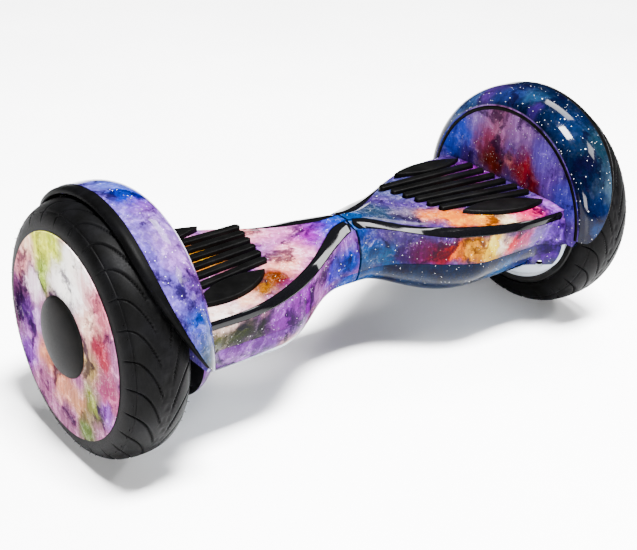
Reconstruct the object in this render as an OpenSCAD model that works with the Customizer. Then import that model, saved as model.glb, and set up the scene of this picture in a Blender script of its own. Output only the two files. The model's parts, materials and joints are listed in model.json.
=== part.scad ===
// Self balancing two-wheeled board: two hinged halves, each with a hub-motor wheel, a fender and a
// foot pad. Millimetres. +X runs along the board to the right wheel, -Y is the front, +Z is up, and the
// origin is on the ground under the middle of the board.

/* [Wheels] */
// Outside diameter of the tyre
tyre_d = 254; // [246:1:256]
// Width of the tyre
tyre_w = 68; // [62:1:69]
// Radius at which the tyre's beads sit on the rim
rim_r = 100; // [97:1:102]
// Distance from the middle of the board to the middle plane of each tyre
wheel_x = 295; // [294:0.5:300]
// Radius of the domed cap over the hub
hub_cap_r = 40; // [32:1:48]
// Height that the hub cap bulges over the rim cover
hub_cap_h = 9; // [5:1:14]
// Radius of the wheel axle
axle_r = 8.5; // [7.5:0.5:8.5]

/* [Body] */
// Length of one half, from the middle of the board to its wheel end
half_l = 242; // [238:1:244]
// Height of the deck over the ground
deck_z = 159.5; // [156:0.5:162]
// Height of the seam between the upper and the lower shells
seam_z = 118; // [116:0.5:118]
// Half of the deck's width between its two trims, at the wheel end
deck_half = 95; // [90:1:98]
// Half of the body's width at the lower edge of the trims, at the wheel end
trim_half = 97; // [94:1:100]
// Half of the body's width at the seam, beside the foot pad
seam_half = 87; // [82:1:92]
// Half of the waist's width at the seam
waist_half = 31.5; // [29:0.5:36]
// Height that the top of the waist stands over the deck
waist_rise = 10; // [6:0.5:12]
// Depth of the lower shell under the seam, beneath the foot pad
belly_d = 55; // [50:1:60]
// Wall thickness of the shells
wall = 3; // [2.6:0.1:3.4]
// Depth of the channel that holds each trim
trim_recess = 1.8; // [1:0.1:2]

/* [Fenders] */
// Radius of the fender's web, inside its black ring
web_r = 115; // [112:1:117]
// Outside radius of the fender over the tyre
fender_r = 137; // [136:0.5:142]
// Width of the fender outside the web, at its top
fender_w = 50; // [46:1:54]
// Width of the black lip beyond the fender's edge
lip_w = 11; // [6:1:14]

/* [Foot pads] */
// Number of rubber ribs on each pad
ribs = 6; // [4:1:6]
// Width of a rib
rib_w = 9.6; // [8:0.2:10.4]
// Height of the ribs over the deck
rib_h = 4.5; // [3:0.5:6]
// Travel of a pad when a foot presses it
pad_travel = 1.5; // [1:0.1:1.6]

/* [Waist joint] */
// Height of the waist shaft's axis
shaft_z = 132; // [130:0.5:134]
// Outside radius of the waist shaft
shaft_r = 13; // [12:0.5:13.5]
// Half of the gap between the two halves' shells
waist_gap = 1.5; // [1.4:0.1:2]
// Twist of one half against the other, each way, in degrees
twist_limit = 18; // [10:1:20]

/* [Hidden] */
$fn = 64;

LEFT = -1;
RIGHT = 1;
FRONT = -1;
REAR = 1;
axle_z = tyre_d / 2;
running_gap = 0.05;   // radial clearance of a bearing or bush on its shaft
part_gap = 0.3;       // clearance between neighbouring mouldings
over = 1;             // how far a cutting tool runs past what it cuts

// Body outline
flare_l = 30;         // stretch over which the body flares out to its wheel end
flare_w = 16;
flare_d = 12;
waist_top_half = 6;   // half of the deck's width between the trims at the waist
waist_trim_half = 22;
edge_drop = 2.5;      // fall of the deck from its flat middle to the trim's upper edge
trim_z = 148;         // lower edge of the trim beside the foot pad
waist_trim_rise = 16;
waist_belly = 23;
web_t = 3.5;          // the fender's web, which closes the wheel end of the upper shell
web_back = half_l + web_t;
stations = 22;
belly_steps = 16;

// Foot pad
deck_under = deck_z - wall;
mat_t = 2.4;
mat_top = deck_under - 1.2;
mat_bottom = mat_top - mat_t;
rib_clear = 0.5;
board_z = 141;
board_t = 1.6;
post_r = 4;
post_bottom = board_z + board_t + pad_travel + 0.4;
posts = [[134, -28], [134, 36], [182, -40], [182, 44]];

// Frame
plate_bottom = 121;
plate_t = 8;
ear_y = 85.5;         // reach of the ears that take the outer shell screws
socket_r = 21;
bush_r = 16;
socket_start = 14;
socket_end = 82;
clamp_x = [200, 232];
clamp_half = 26;
clamp_top = 142;
bolt_r = 3;
screw_r = 2;
screw_head = 2.6;     // height of a shell screw's head
screw_grip = 6.5;     // depth of a shell screw's hole in the frame plate
board_top = 99.4;     // top of the main board, under the frame's four posts
pin_x = 48;
pin_r = 3;

// Rear ports, on the right half
socket_x = 150;
button_x = 184;
port_z = 133;
port_y = 91.5;
port_r = 5.6;
port_body_r = 8;
flange_r = 10.5;
button_r = 7;
cap_hinge = [port_y + 2.9, port_z - 13];
knuckle_r = 1.1;
hinge_pin_r = 0.7;

// ---------------------------------------------------------------- helpers

function clamp01(t) = min(max(t, 0), 1);
function smooth(t) = let (u = clamp01(t)) u * u * (3 - 2 * u);
function soft(t) = (t + sqrt(t * t + 0.003)) / 2;
function arch(t) = sin(90 * clamp01(t));
function mix(a, b, t) = a + (b - a) * t;

// Point at t on the quadratic curve from a to b, drawn towards the control point k
function bend(a, k, b, t) = (1 - t) * (1 - t) * a + 2 * t * (1 - t) * k + t * t * b;

module on_side(side) {
    mirror([side < 0 ? 1 : 0, 0, 0]) children();
}

// Turns a profile drawn as [radius, x] about the wheel's axle. Angles run from the rear over the top.
module about_axle(angle = 360) {
    translate([0, 0, axle_z]) rotate([90, 0, 90]) rotate_extrude(angle = angle) children();
}

module rod_x(r, x0, x1, z) {
    translate([x0, 0, z]) rotate([0, 90, 0]) cylinder(r = r, h = x1 - x0);
}

module tube_x(r_out, r_in, x0, x1, z) {
    difference() {
        rod_x(r_out, x0, x1, z);
        rod_x(r_in, x0 - over, x1 + over, z);
    }
}

module rod_y(r, x, y0, y1, z) {
    translate([x, y0, z]) rotate([-90, 0, 0]) cylinder(r = r, h = y1 - y0);
}

module box(low, high) {
    translate(low) cube(high - low);
}

// ---------------------------------------------------------------- body outline along X

function flare(x) = smooth((x - half_l + flare_l) / flare_l);
function seam_at(x) = mix(waist_half, seam_half, smooth((x - 20) / 118)) + flare_w * flare(x);
function edge_at(x) = mix(waist_top_half, deck_half, arch(soft((x - 22) / 190)));
function trim_at(x) = mix(waist_trim_half, trim_half, pow(arch(x / 200), 1.25));
function top_at(x) = deck_z + waist_rise * (1 - smooth(x / 85));
function edge_z_at(x) = top_at(x) - edge_drop * smooth(x / 60);
function trim_z_at(x) = trim_z + waist_trim_rise * (1 - smooth(x / 110));
function belly_at(x) = mix(waist_belly, belly_d, smooth((x - 10) / 110)) + flare_d * flare(x);

function trim_top(x) = [edge_at(x), edge_z_at(x)];
function trim_low(x) = [trim_at(x), trim_z_at(x)];

// Unit vector into the body, square to the trim's face
function trim_inward(x) = let (d = trim_low(x) - trim_top(x)) [d[1], -d[0]] / norm(d);

// The side wall, from the trim down to the seam
function side_wall(x, t) =
    let (
        low = [seam_at(x), seam_z],
        straight = [(trim_at(x) + seam_at(x)) / 2 + 2, (trim_z + seam_z) / 2],
        k = mix([38, 143], straight, smooth(x / 110))
    )
    bend(trim_low(x), k, low, t);

// Half of a section, from the middle of the deck down to the seam, with the trim's channel this deep
function upper_half(x, channel) =
    let (
        a = trim_top(x),
        b = trim_low(x),
        inward = trim_inward(x),
        top = top_at(x),
        bite = channel > 0 ? 0 : 0.3
    )
    [
        [0, top],
        [0.82 * a[0], top],
        [0.94 * a[0], mix(top, a[1], 0.3)],
        a,
        mix(a, b, bite) + channel * inward,
        mix(b, a, bite) + channel * inward,
        b,
        side_wall(x, 0.25),
        side_wall(x, 0.5),
        side_wall(x, 0.75),
        side_wall(x, 1)
    ];

function other_side(half) = [for (i = [len(half) - 1 : -1 : 1]) [-half[i][0], half[i][1]]];

function upper_outer(x) = let (h = upper_half(x, trim_recess)) concat(other_side(h), h);

function upper_inner(x) =
    let (
        h = upper_half(x, 0),
        sy = 1 - wall / seam_at(x),
        sz = 1 - wall / (top_at(x) - seam_z),
        inner = [for (p = h) [p[0] * sy, seam_z + (p[1] - seam_z) * sz]]
    )
    concat(other_side(inner), inner);

function lower_ring(x, t) =
    let (w = seam_at(x) - t, d = belly_at(x) - t, z = seam_z - part_gap)
    [for (i = [0 : belly_steps]) let (f = 180 * i / belly_steps) [w * cos(f), z - d * sin(f)]];

function station_x(i, start, end) = mix(start, end, i / (stations - 1));
function place(ring, x) = [for (p = ring) [x, p[0], p[1]]];

// ---------------------------------------------------------------- lofted skins

// Two triangles across the corners a, b, c, d
function quad(a, b, c, d) = [[a, b, c], [a, c, d]];
function flat(lists) = [for (l = lists) for (e = l) e];

// A skin between an outer and an inner stack of open sections that run along X. The section's two ends
// are its rims. A shut end is closed by flat faces, and an open one by a rim between the two sections.
module skin(outer, inner, shut_end) {
    rows = len(outer);
    n = len(outer[0]);
    last = rows - 1;
    shift = rows * n;
    points = concat(flat(outer), flat(inner));
    sides = flat([
        for (i = [0 : last - 1]) for (j = [0 : n - 2])
            let (a = i * n + j, b = a + 1, c = b + n, d = a + n)
            concat(quad(a, b, c, d), quad(shift + d, shift + c, shift + b, shift + a))
    ]);
    rims = flat([
        for (i = [0 : last - 1])
            let (a = i * n, b = a + n, c = a + n - 1, d = c + n)
            concat(quad(a, b, shift + b, shift + a), quad(d, c, shift + c, shift + d))
    ]);
    start = flat([for (j = [0 : n - 2]) quad(j + 1, j, shift + j, shift + j + 1)]);
    e = last * n;
    open_end = flat([
        for (j = [e : e + n - 2]) quad(j, j + 1, shift + j + 1, shift + j)
    ]);
    shut = [
        [for (j = [0 : n - 1]) e + j],
        [for (j = [n - 1 : -1 : 0]) shift + e + j],
        [e, e + n - 1, shift + e + n - 1, shift + e]
    ];
    polyhedron(points, concat(sides, rims, start, shut_end ? shut : open_end));
}

// A solid bar whose closed section changes along X
module bar(rings) {
    n = len(rings[0]);
    last = len(rings) - 1;
    sides = flat([
        for (i = [0 : last - 1]) for (j = [0 : n - 1])
            let (k = (j + 1) % n, a = i * n)
            quad(a + j, a + k, a + n + k, a + n + j)
    ]);
    ends = [[for (j = [n - 1 : -1 : 0]) j], [for (j = [0 : n - 1]) last * n + j]];
    polyhedron(flat(rings), concat(sides, ends));
}

// ---------------------------------------------------------------- shells and trims

module upper_shell(side) {
    color("mediumpurple") on_side(side) difference() {
        skin(
            [for (i = [0 : stations - 1]) let (x = station_x(i, waist_gap, half_l - 0.3))
                place(upper_outer(x), x)],
            [for (i = [0 : stations - 1]) let (x = station_x(i, waist_gap, half_l - 0.3))
                place(upper_inner(x), x)],
            false
        );
        translate([0, 0, mat_bottom]) linear_extrude(deck_z + over - mat_bottom) pad_outline(rib_clear);
        if (side == RIGHT) {
            rod_y(port_body_r + part_gap, socket_x, 60, port_y + 10, port_z);
            rod_y(flange_r + part_gap, socket_x, port_y - 0.8, port_y + 10, port_z);
            rod_y(button_r + part_gap, button_x, 60, port_y + 10, port_z);
        }
    }
}

// One section of a trim: a low ridge whose back sits in the shell's channel
function trim_section(x, dir) =
    let (
        a = trim_top(x),
        b = trim_low(x),
        inward = trim_inward(x),
        floor_d = (trim_recess - 0.6) * inward,
        ring = [
            mix(a, b, 0.06) + floor_d,
            mix(a, b, 0.06),
            mix(a, b, 0.5) - 1.2 * inward,
            mix(b, a, 0.06),
            mix(b, a, 0.06) + floor_d
        ],
        turned = dir > 0 ? ring : [for (i = [4 : -1 : 0]) ring[i]]
    )
    [for (p = turned) [x, dir * p[0], p[1]]];

module deck_trim(side, dir) {
    color("#141416") on_side(side) intersection() {
        bar([for (i = [0 : stations - 1])
            trim_section(station_x(i, waist_gap, half_l - 0.3), dir)]);
        box([3, -fender_r, seam_z], [half_l - 4, fender_r, deck_z + 2 * waist_rise]);
    }
}

// ---------------------------------------------------------------- fender

fender_round = 34;    // stretch over which the shoulder rounds over to the full radius
fender_t = 3;
fender_edge = half_l + fender_w;
ring_w = 4.5;
groove_d = 2;
band_r = web_r + ring_w / 2;
steps = 8;

// X of the fender's outer edge at a height over the axle
function edge_x(h) = half_l + 6 + (fender_w - 6) * pow(arch(h / 120), 0.8);

// The rounded shoulder as [radius, x], t under the outer face, from first to last step
function shoulder(t, first, last) = [
    for (i = [first : last < first ? -1 : 1 : last]) let (f = 90 * i / steps)
        [band_r + (fender_r - band_r - t) * sin(f), half_l + fender_round - (fender_round - t) * cos(f)]
];

// Width of the black lip at a height over the axle. It narrows towards the fender's two ends.
function lip_at(h) = lip_w * mix(0.15, 1, smooth(h / 120));

// Everything past the fender's sloping edge, moved outwards by this share of the lip and by extra
module past_edge(lip_share, extra) {
    reach = fender_r + over;
    far = wheel_x + tyre_w;
    edge = [for (i = [0 : steps]) let (h = reach * i / steps) [edge_x(h) + lip_share * lip_at(h) + extra, h]];
    corners = [[far, reach], [far, -over], [edge[0][0], -over]];
    translate([0, reach, axle_z]) rotate([90, 0, 0]) linear_extrude(2 * reach)
        polygon(concat(edge, corners));
}

// The web's face, with the groove for its black ring
function web_outline() = [
    [axle_r + 1, web_back],
    [axle_r + 1, half_l],
    [band_r - ring_w, half_l],
    [band_r - ring_w, half_l + groove_d],
    [band_r, half_l + groove_d]
];

module fender(side) {
    color("royalblue") on_side(side) {
        difference() {
            about_axle(180) polygon(concat(
                web_outline(),
                shoulder(0, 0, steps),
                [[fender_r, fender_edge], [fender_r - fender_t, fender_edge]],
                shoulder(fender_t, steps, 2),
                [[band_r, web_back]]
            ));
            past_edge(0, 0);
        }
        intersection() {
            about_axle() polygon(concat(web_outline(), [[band_r, web_back]]));
            box([half_l - over, -fender_r, seam_z], [web_back + over, fender_r, axle_z]);
        }
    }
}

module fender_lip(side) {
    inner_r = tyre_d / 2 + 3;
    under_r = fender_r - fender_t - 0.4;
    lip_r = fender_r - 0.5;
    tip = fender_edge + lip_w;
    color("#101012") on_side(side) difference() {
        about_axle(180) polygon([
            [inner_r, half_l + 29],
            [lip_r, half_l + 29],
            [lip_r, tip - 7],
            [lip_r - 1, tip - 3],
            [inner_r + 2, tip],
            [inner_r, tip - 1]
        ]);
        past_edge(1, 0);
        difference() {
            about_axle(180) polygon([
                [under_r, half_l], [fender_r + over, half_l], [fender_r + over, tip], [under_r, tip]
            ]);
            past_edge(0, 0.2);
        }
    }
}

module trim_ring(side) {
    floor_x = half_l + groove_d;
    color("#0c0c0e") on_side(side) about_axle(180) polygon([
        [band_r - ring_w + 0.1, floor_x],
        [band_r - ring_w + 0.1, half_l],
        [web_r - 1, half_l - 1],
        [web_r + 1, half_l - 1],
        [band_r - 0.1, half_l],
        [band_r - 0.1, floor_x]
    ]);
}

// ---------------------------------------------------------------- foot pad

rib_end = 232;

// A straight bar with round ends, from p to q
module capsule(p, q, r) {
    heading = atan2(q[1] - p[1], q[0] - p[0]);
    turns = [0 : 18 : 180];
    polygon(concat(
        [for (t = turns) p + r * [cos(heading + 90 + t), sin(heading + 90 + t)]],
        [for (t = turns) q + r * [cos(heading - 90 + t), sin(heading - 90 + t)]]
    ));
}

// A leaf shape: two arcs that meet in a point at each end
module leaf(middle, half_length, half_width, slope) {
    r = (half_length * half_length + half_width * half_width) / (2 * half_width);
    translate(middle) rotate(slope) intersection() {
        translate([0, r - half_width]) circle(r, $fn = 180);
        translate([0, half_width - r]) circle(r, $fn = 180);
    }
}

// The ribs fan a little, and their inner ends step away from the waist towards the front
module pad_outline(extra) {
    for (i = [0 : ribs - 1]) {
        t = i / (ribs - 1);
        capsule(
            [mix(101, 122, t), mix(52.5, -24.5, t)],
            [rib_end, mix(49.5, -42, t)],
            rib_w / 2 + extra
        );
    }
    leaf([182, -57.5], 51 + extra, 15.5 + extra, -15);
    leaf([184, 71], 49 + extra, 12 + extra, -2);
}

module foot_pad(side) {
    color("#1c1c1f") on_side(side) {
        translate([0, 0, mat_bottom]) linear_extrude(mat_t) polygon([
            [94, 46], [118, 62], [134, 69], [160, 80], [184, 84], [234, 83],
            [234, -79], [150, -68], [128, -50], [112, -32], [94, -14]
        ]);
        translate([0, 0, mat_bottom]) linear_extrude(deck_z + rib_h - mat_bottom) pad_outline(0);
        for (p = posts) translate([p[0], p[1], post_bottom]) cylinder(r = post_r, h = mat_top - post_bottom);
    }
}

// Tilt sensor board, with a light gate each side of every post
module pad_board(side) {
    color("seagreen") on_side(side) {
        box([118, -53, board_z], [196, 57, board_z + board_t]);
        for (p = posts) for (dir = [-1, 1])
            translate([p[0] - 4, p[1] + dir * 7.5 - 2.5, board_z + board_t]) cube([8, 5, 6]);
        box([150, -12, board_z + board_t], [166, 4, board_z + board_t + 3]);
    }
}

// ---------------------------------------------------------------- frame and fasteners

// Lower shell screws: x, y, and the height of the head's seat
function shell_screws() = [for (y = [-1, 1]) each [[118, 50 * y, 86], [226, 82 * y, 96]]];
function clamp_bolts() = [for (x = [207, 225]) for (y = [-18, 18]) [x, y]];

module frame(side) {
    half_slot = twist_limit + asin((pin_r + 0.5) / bush_r) + 1;
    bore_r = (side == RIGHT ? bush_r : shaft_r) + running_gap;
    color("silver") on_side(side) difference() {
        union() {
            rod_x(socket_r, socket_start, socket_end, shaft_z);
            translate([0, 0, plate_bottom]) linear_extrude(plate_t) polygon([
                [62, -20], [108, -56], [216, -56], [220, -ear_y], [234, -ear_y],
                [234, ear_y], [220, ear_y], [216, 56], [108, 56], [62, 20]
            ]);
            box([196, -clamp_half, 108], [234, clamp_half, plate_bottom + plate_t]);
            for (x = [122, 192]) for (y = [-46, 50])
                translate([x, y, plate_bottom]) cylinder(r = 3, h = board_z - plate_bottom);
            if (side == RIGHT) for (x = [110, 186]) for (y = [-30, 30])
                translate([x, y, board_top + 0.2]) cylinder(r = 3.5, h = plate_bottom - board_top);
        }
        rod_x(bore_r, socket_start - over, socket_end + over, shaft_z);
        rod_x(bush_r + 2, socket_end, 104, shaft_z);
        rod_x(axle_r + running_gap, 190, 240, axle_z);
        for (p = shell_screws()) translate([p[0], p[1], plate_bottom - over])
            cylinder(r = screw_r + running_gap, h = screw_grip + over);
        for (p = clamp_bolts()) translate([p[0], p[1], 100]) cylinder(r = bolt_r + 0.2, h = 40);
        if (side == RIGHT) translate([pin_x - pin_r - 0.6, 0, shaft_z]) rotate([0, 90, 0])
            rotate([0, 0, -half_slot]) rotate_extrude(angle = 2 * half_slot)
                translate([bush_r - over, 0]) square([socket_r - bush_r + 2 * over, 2 * pin_r + 1.2]);
    }
}

module screws(side) {
    color("dimgray") on_side(side) {
        for (p = shell_screws()) translate([p[0], p[1], p[2] - screw_head]) {
            cylinder(r = 3.6, h = screw_head);
            cylinder(r = screw_r, h = plate_bottom + screw_grip - 0.5 + screw_head - p[2]);
        }
        for (p = clamp_bolts()) translate([p[0], p[1], 109]) {
            cylinder(r = bolt_r, h = clamp_top - 109);
            translate([0, 0, clamp_top - 109]) cylinder(r = 5, h = 5);
        }
    }
}

module lower_shell(side) {
    outer = [for (i = [0 : stations - 1]) let (x = station_x(i, waist_gap, half_l))
        place(lower_ring(x, 0), x)];
    inner = [for (i = [0 : stations - 1]) let (x = station_x(i, waist_gap, half_l - wall))
        place(lower_ring(x, wall), x)];
    color("slateblue") on_side(side) difference() {
        union() {
            skin(outer, inner, true);
            intersection() {
                bar(outer);
                for (p = shell_screws()) translate([p[0], p[1], 0]) cylinder(r = 6.5, h = seam_z);
            }
            for (p = shell_screws())
                translate([p[0], p[1], seam_z - 2]) cylinder(r = 6.5, h = plate_bottom - 0.2 - seam_z + 2);
        }
        for (p = shell_screws()) {
            translate([p[0], p[1], 0]) cylinder(r = 4.2, h = p[2]);
            translate([p[0], p[1], 0]) cylinder(r = screw_r + 0.2, h = plate_bottom);
        }
    }
}

module axle(side) {
    color("lightslategray") on_side(side) rod_x(axle_r, 197, wheel_x + 31, axle_z);
}

module axle_clamp(side) {
    color("gray") on_side(side) difference() {
        box([clamp_x[0], -clamp_half, plate_bottom + plate_t + 0.2], [clamp_x[1], clamp_half, clamp_top]);
        rod_x(axle_r + running_gap, 190, 240, axle_z);
        for (p = clamp_bolts()) translate([p[0], p[1], 100]) cylinder(r = bolt_r + 0.2, h = 60);
    }
}

// ---------------------------------------------------------------- hub motor

teeth = 27;
magnet_count = 30;
stator_r = 82;
magnet_r = [82.8, 86.8];
bearing_r = 17.5;
bearing_w = 10;
rotor_wall = [88, 99.5];
inner_bearing = -36;  // start of each bearing, from the wheel's middle plane
outer_bearing = 20;
cover_u = [31.4, 35.6];

// Repeats a piece drawn about the origin at even turns round the axle, in the wheel's middle plane
module round_axle(count) {
    for (i = [0 : count - 1])
        translate([wheel_x, 0, axle_z]) rotate([i * 360 / count, 0, 0]) children();
}

module stator(side) {
    color("darkgray") on_side(side) {
        difference() {
            union() {
                tube_x(66, 56, wheel_x - 14, wheel_x + 14, axle_z);
                tube_x(58, axle_r + running_gap, wheel_x - 6, wheel_x + 6, axle_z);
            }
            round_axle(6) rod_x(11, -20, 20, 36);
        }
        round_axle(teeth) translate([-13.8, -3, 62]) cube([27.6, 6, stator_r - 63]);
    }
}

module windings(side) {
    color("chocolate") on_side(side)
        round_axle(teeth) difference() {
            translate([-18, -6.5, 67.5]) cube([36, 13, 10.5]);
            translate([-13.9, -3.1, 60]) cube([27.8, 6.2, 22]);
        }
}

module rotor(side) {
    color("gainsboro") on_side(side) about_axle() polygon([
        [rotor_wall[0], wheel_x - 29],
        [rotor_wall[1], wheel_x - 29],
        [rotor_wall[1], wheel_x + 31],
        [bearing_r, wheel_x + 31],
        [bearing_r, wheel_x + outer_bearing - 2],
        [bearing_r + 6, wheel_x + outer_bearing - 2],
        [bearing_r + 6, wheel_x + 26],
        [rotor_wall[0], wheel_x + 26]
    ]);
}

module magnets(side) {
    color("dimgray") on_side(side)
        round_axle(magnet_count)
            translate([-14, -7.5, magnet_r[0] + 0.6]) cube([28, 15, magnet_r[1] - magnet_r[0]]);
}

module motor_cover(side) {
    color("gray") on_side(side) about_axle() polygon([
        [bearing_r, wheel_x + inner_bearing],
        [bearing_r + 6, wheel_x + inner_bearing],
        [bearing_r + 8, wheel_x - 33.5],
        [rotor_wall[1] - 2, wheel_x - 33.5],
        [rotor_wall[1], wheel_x - 32],
        [rotor_wall[1], wheel_x - 29.2],
        [bearing_r + 6, wheel_x - 29.2],
        [bearing_r + 6, wheel_x + inner_bearing + bearing_w],
        [bearing_r, wheel_x + inner_bearing + bearing_w]
    ]);
}

module bearings(side) {
    color("silver") on_side(side) for (u = [inner_bearing, outer_bearing])
        tube_x(bearing_r - running_gap, axle_r + running_gap, wheel_x + u, wheel_x + u + bearing_w, axle_z);
}

// ---------------------------------------------------------------- tyre and wheel covers

tyre_steps = 16;
bead_w = 10;
casing_t = 7;

// A point of the tyre's section as [radius, distance from its middle plane], at an angle f that runs from
// the outer bead over the crown to the inner bead
function tyre_point(f, w, h) = [
    rim_r + h * pow(sin(f), 0.86),
    w * (cos(f) < 0 ? -1 : 1) * pow(abs(cos(f)), 0.80)
];

module tyre(side) {
    w = tyre_w / 2;
    h = tyre_d / 2 - rim_r;
    outer = [for (i = [0 : tyre_steps]) tyre_point(180 * i / tyre_steps, w, h)];
    inner = [for (i = [tyre_steps : -1 : 0]) tyre_point(180 * i / tyre_steps, w - bead_w, h - casing_t)];
    color("#1a1a1a") on_side(side) about_axle() translate([0, wheel_x]) polygon(concat(outer, inner));
}

module valve(side) {
    color("goldenrod") on_side(side) translate([wheel_x - 12, 0, axle_z]) rotate([40, 0, 0])
        translate([0, 0, rim_r + 0.2]) cylinder(r = 3, h = 9);
}

module rim_cover(side) {
    r = rim_r + 1;
    flange_u = tyre_w / 2 + part_gap;
    color("mediumorchid") on_side(side) about_axle() translate([0, wheel_x]) polygon([
        [hub_cap_r - 2, cover_u[0]],
        [rotor_wall[1], cover_u[0]],
        [rotor_wall[1], flange_u],
        [r, flange_u],
        [r - 1.2, cover_u[1]],
        [hub_cap_r - 2, cover_u[1]]
    ]);
}

module hub_cap(side) {
    dome = [for (i = [0 : steps]) let (f = 90 * i / steps)
        [hub_cap_r * cos(f), cover_u[1] + 0.3 + hub_cap_h * sin(f)]];
    color("#1b1b1e") on_side(side) about_axle() translate([0, wheel_x]) polygon(concat(
        [[0, cover_u[1] + 0.3 + hub_cap_h - 3], [hub_cap_r - 8, cover_u[1]], [hub_cap_r - 8, cover_u[0]],
         [hub_cap_r - 2.2, cover_u[0]], [hub_cap_r - 2.2, cover_u[1] + 0.3]],
        dome
    ));
}

// ---------------------------------------------------------------- waist joint

module waist_shaft() {
    color("lightsteelblue") difference() {
        rod_x(shaft_r, -80, 90, shaft_z);
        rod_x(shaft_r - 4, -80 - over, 90 + over, shaft_z);
        translate([pin_x, 0, shaft_z - socket_r]) cylinder(r = pin_r + running_gap, h = socket_r);
    }
}

module waist_bushes() {
    color("darkgoldenrod") for (x = [16, 62])
        tube_x(bush_r, shaft_r + running_gap, x, x + 18, shaft_z);
}

module waist_stop_pin() {
    color("gray") translate([pin_x, 0, shaft_z - socket_r]) cylinder(r = pin_r, h = socket_r - 9.5);
}

module waist_circlip() {
    color("dimgray") tube_x(shaft_r + 3.5, shaft_r + running_gap, socket_end + 1, socket_end + 2.6, shaft_z);
}

// Rubber ring that closes the gap between the halves
module waist_seal() {
    outline = concat(upper_outer(0), [for (i = [1 : belly_steps - 1]) lower_ring(0, 0)[i]]);
    inset = 0.95;
    color("#0c0c0e") difference() {
        translate([0.2 - waist_gap, 0, shaft_z]) rotate([90, 0, 90]) linear_extrude(2 * waist_gap - 0.7)
            polygon([for (p = outline) [p[0] * inset, (p[1] - shaft_z) * inset]]);
        rod_x(socket_r, -5, 5, shaft_z);
    }
}

module waist_harness() {
    color("black") rod_x(5, -98, 98, shaft_z);
}

// ---------------------------------------------------------------- electrics

module battery_pack() {
    color("steelblue") on_side(LEFT) box([110, -34, 80], [192, 34, 112]);
}

module battery_bracket() {
    color("gray") on_side(LEFT) difference() {
        box([142, -36.2, 77.8], [160, 36.2, plate_bottom]);
        box([141, -34.2, 79.8], [161, 34.2, plate_bottom + over]);
    }
}

module main_board() {
    under = board_top - board_t;
    color("darkgreen") {
        box([104, -38, under], [192, 38, board_top]);
        // power transistors, capacitors and plug sockets
        for (i = [0 : 5]) for (y = [-1, 1])
            translate([118 + 11 * i, y * 30 - 2.5, board_top]) cube([8, 5, 11]);
        for (x = [124, 140, 156, 172]) translate([x, 0, under - 15]) cylinder(r = 6, h = 15);
        for (y = [-30, -14, 14, 24]) translate([106, y, under - 6]) cube([8, 9, 6]);
    }
}

module charge_socket() {
    color("silver") difference() {
        union() {
            rod_y(port_body_r, socket_x, port_y - 20, port_y, port_z);
            rod_y(flange_r, socket_x, port_y - 0.5, port_y + 1.5, port_z);
            box([socket_x - 5.6, port_y - 0.5, cap_hinge[1] - 2], [socket_x + 5.6, port_y + 1.5, port_z - 8]);
            for (x = [socket_x - 5.6, socket_x + 4.3])
                box([x, port_y, cap_hinge[1] - 2], [x + 1.3, cap_hinge[0] + 1.5, cap_hinge[1] + 2]);
        }
        rod_y(port_r, socket_x, port_y - 8.5, port_y + 3, port_z);
        translate([0, cap_hinge[0], 0])
            rod_x(hinge_pin_r + running_gap, socket_x - 7, socket_x + 7, cap_hinge[1]);
    }
    color("gold") for (a = [90, 210, 330])
        rod_y(0.9, socket_x + 2.4 * cos(a), port_y - 15, port_y - 9, port_z + 2.4 * sin(a));
}

// Flap over the charging socket, on a pin between two ears
module socket_cap() {
    low = port_y + 1.8;
    color("#202022") {
        rod_y(9.5, socket_x, low, low + 2.2, port_z);
        box([socket_x - 3.9, low, cap_hinge[1]], [socket_x + 3.9, low + 2.2, port_z - 5]);
        translate([0, cap_hinge[0], 0]) {
            rod_x(knuckle_r, socket_x - 3.9, socket_x + 3.9, cap_hinge[1]);
            rod_x(hinge_pin_r, socket_x - 5.6, socket_x + 5.6, cap_hinge[1]);
        }
    }
}

module power_switch() {
    color("dimgray") rod_y(9, button_x, port_y - 26, port_y - 8, port_z);
}

module power_button() {
    color("#2a2a2e") rod_y(button_r, button_x, port_y - 6, port_y + 3, port_z);
}

// ---------------------------------------------------------------- the parts
frame(LEFT);  // left_frame
upper_shell(LEFT);  // left_upper_shell
lower_shell(LEFT);  // left_lower_shell
fender(LEFT);  // left_fender
fender_lip(LEFT);  // left_fender_lip
trim_ring(LEFT);  // left_trim_ring
deck_trim(LEFT, FRONT);  // left_front_trim
deck_trim(LEFT, REAR);  // left_rear_trim
foot_pad(LEFT);  // left_foot_pad
pad_board(LEFT);  // left_pad_board
screws(LEFT);  // left_screws
axle(LEFT);  // left_axle
axle_clamp(LEFT);  // left_axle_clamp
stator(LEFT);  // left_stator
windings(LEFT);  // left_windings
rotor(LEFT);  // left_rotor
magnets(LEFT);  // left_magnets
motor_cover(LEFT);  // left_motor_cover
bearings(LEFT);  // left_bearings
tyre(LEFT);  // left_tyre
valve(LEFT);  // left_valve
rim_cover(LEFT);  // left_rim_cover
hub_cap(LEFT);  // left_hub_cap
frame(RIGHT);  // right_frame
upper_shell(RIGHT);  // right_upper_shell
lower_shell(RIGHT);  // right_lower_shell
fender(RIGHT);  // right_fender
fender_lip(RIGHT);  // right_fender_lip
trim_ring(RIGHT);  // right_trim_ring
deck_trim(RIGHT, FRONT);  // right_front_trim
deck_trim(RIGHT, REAR);  // right_rear_trim
foot_pad(RIGHT);  // right_foot_pad
pad_board(RIGHT);  // right_pad_board
screws(RIGHT);  // right_screws
axle(RIGHT);  // right_axle
axle_clamp(RIGHT);  // right_axle_clamp
stator(RIGHT);  // right_stator
windings(RIGHT);  // right_windings
rotor(RIGHT);  // right_rotor
magnets(RIGHT);  // right_magnets
motor_cover(RIGHT);  // right_motor_cover
bearings(RIGHT);  // right_bearings
tyre(RIGHT);  // right_tyre
valve(RIGHT);  // right_valve
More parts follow.
